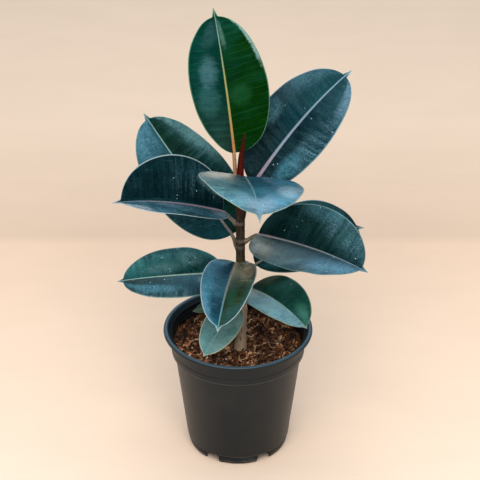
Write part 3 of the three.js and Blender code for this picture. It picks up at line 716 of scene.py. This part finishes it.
def buildBlade(name, leaf, look, path, materials):
    b = bladeShape
    rng = np.random.default_rng(leaf["node"])
    t = np.linspace(0, 1, b["stations"])
    stations = (leaf["length"] + leaf["drip"]) * (t - 0.9 * np.sin(2 * math.pi * t) / (2 * math.pi))
    s = np.linspace(1, -1, 2 * b["columns"] + 1)
    v = s - 0.08 * np.sin(2 * math.pi * s)
    point, along, left, up = (part[:, None, :] for part in midribAt(path, stations))
    h = np.where(v > 0, halfWidth(leaf, stations, 1), halfWidth(leaf, stations, -1))
    x = stations[:, None]
    fold, arch = math.radians(leaf["fold"]), math.radians(leaf["arch"])
    tilt = fold - arch * np.abs(v)
    out = h / arch * (math.sin(fold) - np.sin(tilt)) * np.sign(v)
    lift = h / arch * (np.cos(tilt) - math.cos(fold))
    across = h * v
    a = np.abs(across)
    down = np.clip(across / 1.5, -1, 1) * np.sin(tilt)      # the face's normal, eased over the midrib
    middle = point + left * out[..., None] + up * lift[..., None]
    under = left * down[..., None] - up * np.cos(tilt)[None, :, None]
    # relief of the upper face
    crease = b["crease"] * math.tan(abs(fold)) * gauss(a / b["creaseWidth"])
    strength = np.clip(1 - x / leaf["length"], 0.15, 1)
    relief = crease - b["channel"] * strength * gauss(a / b["channelWidth"])
    vein = (0.5 + 0.5 * np.cos(2 * math.pi * (x - b["veinLean"] * a) / b["veinSpacing"])) ** 3
    uneven = 1 + 0.8 * swells(rng, x * 1.6, across * 0.4)
    relief = relief - look["ripple"] * vein * uneven * smooth(a, 1, 5) * smooth(h - a, 0, 4)
    away = np.abs(v) * smooth(x, 0, 15) * (1 - smooth(x, leaf["length"] - 12, leaf["length"]))
    relief = relief + look["wave"] * swells(rng, x, across) * away
    thick = b["thickness"] + (b["marginThickness"] - b["thickness"]) * np.abs(v) ** 1.5
    top = middle - under * relief[..., None]
    bottom = top + under * thick[None, :, None]
    outward = left * (np.sign(v) * np.cos(tilt))[None, :, None] + up * np.sin(tilt)[None, :, None]
    rim = (top + bottom) / 2 + outward * b["marginBulge"]
    rings = np.concatenate([top, rim[:, -1:], bottom[:, ::-1], rim[:, :1]], 1)
    points, faces = loft(rings)
    around, columns = rings.shape[1], len(v)
    side = [0] * (columns + 1) + [1] * (columns - 1) + [0] * 2
    faceMaterial = side * (len(x) - 1) + [0] * (2 * around)
    piece = makePiece(name + "_blade", points + stemFoot, faces, materials, faceMaterial)
    order = np.concatenate([v, v[-1:], v[::-1], v[:1]])
    widths = np.hstack([h, h[:, -1:], h[:, ::-1], h[:, :1]]) / b["mapSpan"]
    setRingUv(piece, "veinMap", x / b["mapSpan"], 0.5 + widths * order)
    setRingUv(piece, "edgeMap", 0.5 + 0.5 * order, widths * (1 - np.abs(order)))
    return piece


# Stalk from inside the stem, and the midrib it becomes under the blade
def buildStalk(name, leaf, path, material):
    k = stalkShape
    side, lift = leafSide(leaf), math.radians(leaf["leave"])
    outward = np.array([math.cos(side), math.sin(side), 0])
    leave = outward * math.cos(lift) + np.array([0, 0, math.sin(lift)])
    stemAt = float(stemRadius(leaf["node"]))
    start = np.array([float(stemBow(leaf["node"])), 0, leaf["node"]]) + outward * k["sunk"] * stemAt
    base, along, _, up = (part[0] for part in midribAt(path, np.zeros(1)))
    under = bladeShape["thickness"] / 2
    end = base - up * (k["below"] * k["bladeRadius"] + under)
    reach = np.linalg.norm(end - start)
    hold = [start, start + leave * k["stemHold"] * reach, end - along * k["bladeHold"] * reach, end]
    t = np.linspace(0, 1, k["stalkRings"], endpoint=False)[:, None]
    weights = [(1 - t) ** 3, 3 * t * (1 - t) ** 2, 3 * t * t * (1 - t), t ** 3]
    centre = sum(w * p for w, p in zip(weights, hold))
    slopes = [3 * (1 - t) ** 2, 6 * t * (1 - t), 3 * t * t]
    tangent = unit(sum(w * (q - p) for w, p, q in zip(slopes, hold[:-1], hold[1:])))
    ups = unit(up - tangent * (tangent @ up)[:, None])
    r = k["radius"] + (k["bladeRadius"] - k["radius"]) * t[:, 0]
    r = r * (1 + k["flare"] * gauss((t[:, 0] * reach - 0.4 * stemAt) / k["flareReach"]))
    w = np.linspace(0, 1, k["ribRings"])
    point, _, lefts, ribUps = midribAt(path, w * k["ribEnd"] * leaf["length"])
    size = 0.8 + 0.2 * min(leaf["length"] / 110, 1)
    ribR = k["bladeRadius"] + (k["tipRadius"] - k["bladeRadius"]) * w
    ribR = ribR * (1 + (size - 1) * smooth(w, 0, 0.15))
    ribR = ribR * np.sqrt(np.clip(1 - ((w - 0.9) / 0.1).clip(0) ** 2 * 0.9, 0.1, 1))
    centre = np.vstack([centre, point - ribUps * (k["below"] * ribR + under)[:, None]])
    lefts, ups = np.vstack([np.cross(ups, tangent), lefts]), np.vstack([ups, ribUps])
    points, faces = loft(rodRings(centre, lefts, ups, np.concatenate([r, ribR]), k["sides"]))
    piece = makePiece(name + "_stalk", points + stemFoot, faces, [material])
    along = np.concatenate([t[:, 0] * 0.5, 0.5 + w * 0.5])
    setRingUv(piece, "alongMap", along[:, None], circle(k["sides"]) / 7)
    return piece


def buildLeaves():
    back = leafBackMaterial()
    for name, leaf in leafShapes.items():
        look, path = {**plainLook, **leafLooks[name]}, midribPath(leaf)
        blade = buildBlade(name, leaf, look, path, [leafTopMaterial(name, leaf, look), back])
        stalk = buildStalk(name, leaf, path, stalkMaterial(name, look))
        settle(blade, name)
        settle(stalk, name)
    print("leaves: done")


buildLeaves()


potShape = {
    "height": 117, "rimRadius": 65, "lipWidth": 3, "lipHeight": 2.8, "lipRound": 1.5,
    "collarTop": 59.8, "collarBottom": 58, "collarHeight": 94, "grooveHeight": 101, "grooveDepth": 0.35,
    "bodyTop": 55.3, "bodyBottom": 45, "turnHeight": 8, "footRadius": 42.2, "footRound": 0.1,
    "footStep": 1.7, "wall": 1.3, "floorBottom": 9.4, "floorTop": 11, "padRadius": 9,
    "stepTop": 95.3, "stepBottom": 93.5, "ledges": (113, 109, 105), "ledgeDepth": 0.58,
    "sides": 240, "cornerRound": 0.9, "sharp": 38,
}
potCuts = {
    "notchAngles": (0, 58, 122, 180, 238, 302), "notchWidth": 13.6, "notchHeight": 7.4, "notchCorner": 2.4,
    "notchFrom": 36, "notchTo": 50,
    "drains": 8, "drainRadius": 3.5, "drainCircle": 28, "drainFrom": 5, "drainTo": 15, "drainSides": 32,
}
# Painted highlight lines around the pot, just above the body's lower edge and just above the collar's
# lower edge: height, half width, reach and tone
paintedHighlightLines = [(8.3, 0.2, 1.1, (0.13, 0.15, 0.17)), (94.5, 0.1, 0.7, (0.07, 0.075, 0.08))]


# Every corner of an open outline gets a small arc
def roundCorners(outline, radius, steps=3):
    rounded = [outline[0]]
    for corners in zip(outline, outline[1:], outline[2:]):
        before, corner, after = (np.array(p, float) for p in corners)
        reach = [min(radius, 0.45 * np.linalg.norm(p - corner)) for p in (before, after)]
        start = corner + (before - corner) / np.linalg.norm(before - corner) * reach[0]
        end = corner + (after - corner) / np.linalg.norm(after - corner) * reach[1]
        for t in np.linspace(0, 1, steps + 1):
            rounded.append(tuple((1 - t) ** 2 * start + 2 * t * (1 - t) * corner + t * t * end))
    rounded.append(outline[-1])
    return rounded


def potOutline():
    p = potShape
    top = p["height"]
    lipBottom = top - p["lipHeight"]
    groove = p["collarBottom"] + (p["collarTop"] - p["collarBottom"]) * 0.35
    footInside = p["footRadius"] - p["wall"]
    footMiddle = p["footRadius"] + (p["bodyBottom"] - p["footRadius"]) * (0.5 + p["footRound"])
    outline = [
        (0, 0), (p["padRadius"], 0), (p["padRadius"], p["floorBottom"]), (footInside, p["floorBottom"]),
        (footInside, 0), (p["footRadius"], 0), (footMiddle, p["turnHeight"] / 2),
        (p["bodyBottom"] - p["footStep"], p["turnHeight"]), (p["bodyBottom"], p["turnHeight"] + 0.7),
        (p["bodyTop"], p["collarHeight"] - 0.8),
        (p["collarBottom"], p["collarHeight"]), (groove, p["grooveHeight"] - 0.6),
        (groove - p["grooveDepth"], p["grooveHeight"]), (groove + 0.1, p["grooveHeight"] + 0.5),
        (p["collarTop"], lipBottom),
        (p["rimRadius"], lipBottom), (p["rimRadius"], top - p["lipRound"]),
        (p["rimRadius"] - 0.3 * p["lipRound"], top - 0.3 * p["lipRound"]),
        (p["rimRadius"] - p["lipRound"], top), (p["rimRadius"] - p["lipWidth"], top),
    ]
    for i, z in enumerate(p["ledges"]):
        r = p["collarTop"] - p["wall"] - i * p["ledgeDepth"]
        outline += [(r, z + 0.3), (r - p["ledgeDepth"], z)]
    outline += [
        (p["collarBottom"] - p["wall"], p["stepTop"]), (p["bodyTop"] - p["wall"], p["stepBottom"]),
        (p["bodyBottom"] - p["wall"], p["floorTop"]), (0, p["floorTop"]),
    ]
    return roundCorners(outline, p["cornerRound"])


# Outline of radius and height turned about Z into a closed skin
def turned(outline, sides):
    points, faces = [(0, 0, outline[0][1]), (0, 0, outline[-1][1])], []
    ring = outline[1:-1]
    for r, z in ring:
        points += [(r * math.cos(a), r * math.sin(a), z) for a in circle(sides)]
    for j in range(sides):
        k = (j + 1) % sides
        faces.append((0, 2 + k, 2 + j))
        for i in range(len(ring) - 1):
            low, high = 2 + i * sides, 2 + (i + 1) * sides
            faces.append((low + j, low + k, high + k, high + j))
        last = 2 + (len(ring) - 1) * sides
        faces.append((1, last + j, last + k))
    return points, faces


def notchCutter(angle):
    c = potCuts
    w, h, r = c["notchWidth"] / 2, c["notchHeight"], c["notchCorner"]
    turn = np.linspace(0, math.pi / 2, 6)
    side = [(w - r + r * math.cos(t), h - r + r * math.sin(t)) for t in turn]
    profile = [(-w, -1), (w, -1)] + side + [(-x, z) for x, z in side[::-1]]
    ends = (c["notchFrom"], c["notchTo"])
    points, faces = loft(np.array([[(out, x, z) for x, z in profile] for out in ends]))
    return points @ np.array(Matrix.Rotation(math.radians(angle), 3, "Z")).T, faces


def drainCutter(angle):
    c = potCuts
    x = c["drainCircle"] * math.cos(angle) + c["drainRadius"] * np.cos(circle(c["drainSides"]))
    y = c["drainCircle"] * math.sin(angle) + c["drainRadius"] * np.sin(circle(c["drainSides"]))
    return loft(np.array([np.stack([x, y, z + 0 * x], 1) for z in (c["drainFrom"], c["drainTo"])]))


def potMaterial():
    material, tree, shader = newMaterial("potPlastic", rough=0.4, specular=0.32,
                                         specularTint=(0.8, 0.92, 1, 1))
    mottle = cloud(place(tree), 55, 4, 0.6)
    colour = blend(step(mottle, 0.3, 0.7), (0.003, 0.005, 0.007), (0.008, 0.009, 0.01))
    scuff = step(cloud(place(tree, (1, 1, 3)), 90, 6, 0.75), 0.6, 0.74)
    colour = blend(times(scuff, 0.12), colour, (0.16, 0.15, 0.14))
    # the lip is greyer on top, and the foot is rubbed
    # the top of the lip gets a painted slate-blue highlight, and painted highlight lines run round the pot;
    # the foot is paler and bluer in patches towards the bottom
    height = heightIn(tree)
    colour = blend(step(height, 0.1158, 0.1164), colour, (0.036, 0.06, 0.078))
    for spot, inner, reach, tone in paintedHighlightLines:
        colour = blend(times(band(height, spot * mm, inner * mm, reach * mm), mottle), colour, tone)
    paleFootPatches = step(cloud(place(tree, (1, 1, 2)), 130, 5, 0.7), 0.5, 0.66)
    colour = blend(times(fall(height, 0.002, 0.009), paleFootPatches, 0.5), colour, (0.09, 0.11, 0.12))
    grain = cloud(place(tree, (1, 1, 0.5)), 1500, 3, 0.7)
    coatWith(shader, colour, grain, 0.12, 0.1, add(times(mottle, 0.12), 0.38, times(scuff, 0.15)))
    return material


def buildPot():
    points, faces = turned(potOutline(), potShape["sides"])
    pot = makePiece("pot_body", points, faces, [potMaterial()])
    cutters = [notchCutter(angle) for angle in potCuts["notchAngles"]]
    cutters += [drainCutter(angle) for angle in circle(potCuts["drains"])]
    tools = []
    for cutter in cutters:
        tool = makePiece("cutter", *cutter, [])
        cut = pot.modifiers.new("cut", "BOOLEAN")
        cut.operation, cut.solver, cut.object = "DIFFERENCE", "EXACT", tool
        tools.append(tool)
    depsgraph = bpy.context.evaluated_depsgraph_get()
    cutMesh = bpy.data.meshes.new_from_object(pot.evaluated_get(depsgraph))
    pot.modifiers.clear()
    pot.data = cutMesh
    for tool in tools:
        bpy.data.objects.remove(tool)
    cutMesh.shade_smooth()
    cutMesh.set_sharp_from_angle(angle=math.radians(potShape["sharp"]))
    settle(pot, "pot")
    print("pot: done")


buildPot()


# Soil. The bits on it keep clear of the stem by their own gap. Tones go from dark to bright.
soilShape = {
    "level": 95, "rise": 5.3, "tilt": 2.8, "clearance": 0.4, "lump": 1.2, "hole": 5.9,
    "rings": 90, "sides": 260, "grain": 3.0,
    "crumbs": 2300, "crumbSize": (0.6, 3.2), "chunks": 150, "chunkSize": (3.0, 7.0),
    "perlite": 30, "perliteSize": (1.4, 2.6), "lumpGap": 5.6,
    "fibres": 140, "fibreLength": (5, 18), "fibreRadius": (0.18, 0.5), "fibreGap": 6.4,
    "fibreRings": 11, "fibreSides": 5,
}
crumbTones = [(0.004, 0.0015, 0.001), (0.018, 0.006, 0.0025), (0.08, 0.026, 0.01), (0.25, 0.088, 0.034),
              (0.6, 0.245, 0.1), (0.95, 0.5, 0.26)]
fibreTones = [(0.2, 0.08, 0.03), (0.62, 0.33, 0.16), (0.95, 0.68, 0.42)]
perliteTones = [(0.8, 0.62, 0.48), (0.95, 0.85, 0.75)]
insideEdge = potShape["collarBottom"] - potShape["wall"]
soilEdge = insideEdge - soilShape["clearance"]


def soilHeight(x, y, t):
    s = soilShape
    lumps = s["lump"] * (0.5 * np.sin(0.31 * x + 1.1) * np.cos(0.27 * y - 0.4)
                         + 0.35 * np.sin(0.63 * x - 0.52 * y) + 0.25 * np.cos(0.88 * y + 0.35 * x + 2))
    return s["level"] + t * t * (s["rise"] - s["tilt"] * x / soilEdge) + np.minimum(1, 4 * t) * lumps


def soilGrain(x, y):
    return soilShape["grain"] * noise.fractal(Vector((x * 0.16, y * 0.16, 0)) * 1.6, 1.0, 2.1, 4)


def soilTop(x, y):
    hole = soilShape["hole"]
    t = np.clip((np.hypot(x - 1, y) - hole) / (soilEdge - hole), 0, 1)    # from the stem's hole to the edge
    return float(soilHeight(x, y, t)) + soilGrain(x, y)


def earthMaterial():
    material, tree, shader = newMaterial("earth", rough=0.95, specular=0.2)
    coarse, fine = cloud(place(tree), 260, 5, 0.7), cloud(place(tree), 1400, 4, 0.7)
    # the near-black patches are partly the earth's own colour and partly painted shade for the gaps between
    # the crumbs
    colour = blend(step(coarse, 0.38, 0.66), (0.003, 0.001, 0.0005), (0.14, 0.046, 0.018))
    colour = blend(times(step(fine, 0.5, 0.75), 0.6), colour, (0.34, 0.15, 0.07))
    coatWith(shader, colour, add(coarse, fine), 0.8, 0.6)
    return material


def bitMaterial(name, tones, rough):
    material, tree, shader = newMaterial(name, rough=rough, specular=0.25)
    patch = step(cloud(place(tree), 120, 3), 0.38, 0.62)
    pick = add(times(uvOf(tree, "bitMap")[0], 0.6), times(patch, 0.4))
    colour = toneRamp(pick, [(i / (len(tones) - 1), tone) for i, tone in enumerate(tones)])
    grain = cloud(place(tree), 1600, 4, 0.7)
    dark = blend(1.0, colour, (0.4, 0.36, 0.34), "MULTIPLY")
    coatWith(shader, blend(step(grain, 0.35, 0.6), dark, colour), grain, 0.6, 0.3)
    return material


# One piece from many bits, each with a tone of its own
def settleBits(name, bits, faces, picks, material, sharp=None):
    piece = makePiece(name, np.vstack(bits), faces, [material], sharp=sharp)
    setUv(piece, "bitMap", np.vstack([np.full((len(bit), 2), pick) for bit, pick in zip(bits, picks)]))
    settle(piece, "soil")


# Small lumps, each a dented ball of its own size and turn
def scatterLumps(name, rng, count, sizes, material, sink, flat=(0.6, 1.0), detail=1):
    ball = bmesh.new()
    bmesh.ops.create_icosphere(ball, subdivisions=detail, radius=1)
    skin = np.array([v.co for v in ball.verts])
    skinFaces = np.array([[v.index for v in f.verts] for f in ball.faces])
    ball.free()
    bits, faces, picks = [], [], []
    while len(bits) < count:
        size = sizes[0] + (sizes[1] - sizes[0]) * rng.random() ** 2.2
        r, a = math.sqrt(rng.random()) * (insideEdge - size * 0.9), rng.uniform(0, 2 * math.pi)
        x, y = r * math.cos(a), r * math.sin(a)
        if math.hypot(x - stemShape["x"], y) < soilShape["lumpGap"] + size * 0.6:
            continue
        shape = skin * (1 + 0.28 * rng.standard_normal((len(skin), 1))).clip(0.5, 1.6)
        shape = shape * np.array([1, rng.uniform(0.4, 1), rng.uniform(*flat)]) * size / 2
        turn = Matrix.Rotation(rng.uniform(0, 6.3), 3, "Z") @ Matrix.Rotation(rng.uniform(-0.6, 0.6), 3, "X")
        faces.append(skinFaces + len(skin) * len(bits))
        bits.append(shape @ np.array(turn).T + np.array([x, y, soilTop(x, y) + size * sink]))
        picks.append(rng.random())
    settleBits(name, bits, np.vstack(faces).tolist(), picks, material, 60 if detail > 1 else 30)


def scatterFibres(rng, material):
    s = soilShape
    edge = insideEdge - 1
    steps = np.linspace(0, 1, s["fibreRings"])
    bits, allFaces, picks = [], [], []
    while len(bits) < s["fibres"]:
        r, a = math.sqrt(rng.random()) * (edge - 2), rng.uniform(0, 2 * math.pi)
        x, y, heading = r * math.cos(a), r * math.sin(a), rng.uniform(0, 2 * math.pi)
        length, curl = rng.uniform(*s["fibreLength"]) * rng.uniform(0.5, 1), rng.normal(0, 1.6)
        radius, arc = rng.uniform(*s["fibreRadius"]), rng.uniform(0.0, 0.28)
        line = []
        for t in steps:
            line.append((x, y, soilTop(x, y) + 0.5 + arc * length * math.sin(math.pi * t)))
            turn = heading + curl * t
            x, y = x + math.cos(turn) * length / len(steps), y + math.sin(turn) * length / len(steps)
        line = np.array(line)
        far = np.hypot(line[:, 0], line[:, 1]).max() > edge - 0.6
        close = np.hypot(line[:, 0] - stemShape["x"], line[:, 1]).min() < s["fibreGap"]
        if far or close:
            continue
        line[1:-1, 2] = (line[:-2, 2] + 2 * line[1:-1, 2] + line[2:, 2]) / 4
        tangent = unit(np.gradient(line, axis=0))
        sideways = unit(np.cross(tangent, [0, 0, 1.0]))
        taper = radius * (0.35 + 0.65 * np.sin(math.pi * np.linspace(0.12, 0.95, len(steps))))
        ring = rodRings(line, sideways, np.cross(sideways, tangent), taper, s["fibreSides"])
        points, faces = loft(ring[:, ::-1])
        start = len(points) * len(bits)
        allFaces += [tuple(i + start for i in face) for face in faces]
        bits.append(points)
        picks.append(rng.random())
    settleBits("soil_fibres", bits, allFaces, picks, material)


def buildSoil():
    s, p = soilShape, potShape
    angle = -circle(s["sides"])
    rows = []

    def ring(radius, height, centre=0):
        x, y = centre + radius * np.cos(angle), radius * np.sin(angle)
        rows.append(np.stack([x, y, height + 0 * angle], 1))

    ring(s["hole"], s["level"] - stemShape["planted"] - s["clearance"], stemShape["x"])
    for t in np.linspace(0, 1, s["rings"]):
        ring(s["hole"] + (soilEdge - s["hole"]) * t, 0, stemShape["x"] * (1 - t))
        x, y = rows[-1][:, 0], rows[-1][:, 1]
        grain = np.array([soilGrain(*spot) for spot in zip(x, y)])
        rows[-1][:, 2] = soilHeight(x, y, t) + grain * min(1, 6 * t)
    ring(soilEdge, p["stepTop"] + s["clearance"] / 2)
    ring(p["bodyTop"] - p["wall"] - s["clearance"], p["stepBottom"] + s["clearance"] / 2)
    ring(p["bodyBottom"] - p["wall"] - s["clearance"], p["floorTop"] + s["clearance"])
    points, faces = loft(np.array(rows))
    settle(makePiece("soil_body", points, faces, [earthMaterial()]), "soil")
    rng = np.random.default_rng(5)
    crumbs = bitMaterial("crumbs", crumbTones, 0.9)
    scatterLumps("soil_crumbs", rng, s["crumbs"], s["crumbSize"], crumbs, 0.3)
    scatterLumps("soil_chunks", rng, s["chunks"], s["chunkSize"], crumbs, 0.15, (0.35, 0.8), 2)
    scatterFibres(rng, bitMaterial("fibres", fibreTones, 0.8))
    white = bitMaterial("perlite", perliteTones, 0.9)
    scatterLumps("soil_perlite", rng, s["perlite"], s["perliteSize"], white, 0.35, (0.7, 1.0), 2)
    print("soil: done")


buildSoil()


floorLook = {
    "size": 8, "below": 0.3,        # metres across, and millimetres under the foot
    # tone at a depth on the floor in metres, nearest first; beyond about 0.35 the floor stands for the wall.
    # The change of tone with depth is painted light: paler near, darker far off, darkest at the wall's foot
    "tones": [(-0.3, (0.9, 0.69, 0.55)), (-0.02, (0.86, 0.61, 0.457)), (0.34, (0.765, 0.503, 0.358)),
              (0.358, (0.678, 0.452, 0.324)), (0.62, (0.79, 0.548, 0.403))],
    "patchy": 0.05, "paintedLightToRight": 0.02,          # paler and darker patches, and painted light that grows paler to the right
}
cameraSpot = {"distance": 1700, "height": 204.5, "across": 1.73, "pitch": 30.4, "lens": 150, "sensor": 36}
# Area lights in metres and watts. Those from behind leave the floor alone.
lights = {
    "overhead": dict(spot=(-0.05, 0.1, 1.7), aim=(-0.05, 0.1, 0), size=(2.15, 2.4), power=27,
                     tint=(0.95, 0.97, 1)),
    "front": dict(spot=(-0.02, -1.6, 1.75), aim=(0, 0, 0.1), size=(1.6, 1.4), power=43,
                  tint=(1, 0.98, 0.95)),
    "backPanel": dict(spot=(0.25, 2.4, 1.6), aim=(0, 0, 0.25), size=(1.15, 2.2), power=22,
                      tint=(0.42, 0.75, 1), behind=True),
    "warmWall": dict(spot=(-0.66, 2.31, 1.22), aim=(0, 0, 0.25), size=(0.8, 1.4), power=4.5,
                     tint=(1, 0.83, 0.5), behind=True),
    "frontRight": dict(spot=(1.85, -0.66, 0.66), aim=(0, 0, 0.33), size=(0.34, 0.26), power=0.8,
                       tint=(0.72, 1, 1)),
}
skyLook = {"low": (0.02, 0.02, 0.02), "high": (0.36, 0.58, 0.7), "strength": 1.0}


def buildFloor():
    f = floorLook
    material, tree, shader = newMaterial("floorPaint", rough=0.9, specular=0.1)
    across, depth = node(tree, "SeparateXYZ", {0: place(tree)}).outputs[:2]
    nearest, furthest = f["tones"][0][0], f["tones"][-1][0]
    far = node(tree, "MapRange", {"Value": depth, "From Min": nearest, "From Max": furthest}).outputs[0]
    tones = [((spot - nearest) / (furthest - nearest), tone) for spot, tone in f["tones"]]
    patches = cloud(place(tree, (1, 2.2, 1)), 9, 7, 0.6)
    light = add(times(patches, 2 * f["patchy"]), 1 - f["patchy"], times(across, f["paintedLightToRight"]))
    tree.links.new(shade(toneRamp(far, tones), light), shader.inputs["Base Color"])
    half = f["size"] / 2 / mm
    corners = [(-half, -half, 0), (half, -half, 0), (half, half, 0), (-half, half, 0)]
    floor = makePiece("floor", corners, [(0, 1, 2, 3)], [material])
    floor.location.z = -f["below"] * mm
    floor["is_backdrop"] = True


def buildCamera():
    c = cameraSpot
    pitch = math.radians(c["pitch"])
    data = bpy.data.cameras.new("camera")
    data.lens, data.sensor_width = c["lens"], c["sensor"]
    data.clip_start, data.clip_end = 0.05, 50
    camera = bpy.data.objects.new("camera", data)
    camera.location = (c["across"] * mm, -c["distance"] * mm * math.cos(pitch),
                       c["height"] * mm + c["distance"] * mm * math.sin(pitch))
    camera.rotation_euler = (math.pi / 2 - pitch, 0, 0)
    scene.collection.objects.link(camera)
    scene.camera = camera


def buildLights():
    plantOnly = bpy.data.collections.new("plantOnly")
    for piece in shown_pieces():
        plantOnly.objects.link(piece)
    for name, look in lights.items():
        data = bpy.data.lights.new(name, "AREA")
        data.shape, data.energy, data.color = "RECTANGLE", look["power"], look["tint"]
        data.size, data.size_y = look["size"]
        light = bpy.data.objects.new(name, data)
        light.location = look["spot"]
        aim = Vector(look["aim"]) - Vector(look["spot"])
        light.rotation_euler = aim.to_track_quat("-Z", "Y").to_euler()
        light.visible_camera = False
        if look.get("behind"):
            light.light_linking.receiver_collection = plantOnly
        scene.collection.objects.link(light)
    world = bpy.data.worlds.new("studio")
    world.use_nodes = True
    tree = world.node_tree
    up = node(tree, "SeparateXYZ", {0: node(tree, "TexCoord", {}).outputs["Generated"]}).outputs[2]
    background = tree.nodes["Background"]
    tree.links.new(blend(step(up, 0.2, 0.75), skyLook["low"], skyLook["high"]), background.inputs["Color"])
    background.inputs["Strength"].default_value = skyLook["strength"]
    scene.world = world
    scene.view_settings.view_transform = "Standard"


buildFloor()
buildCamera()
buildLights()
print("floor, camera and lights: done")
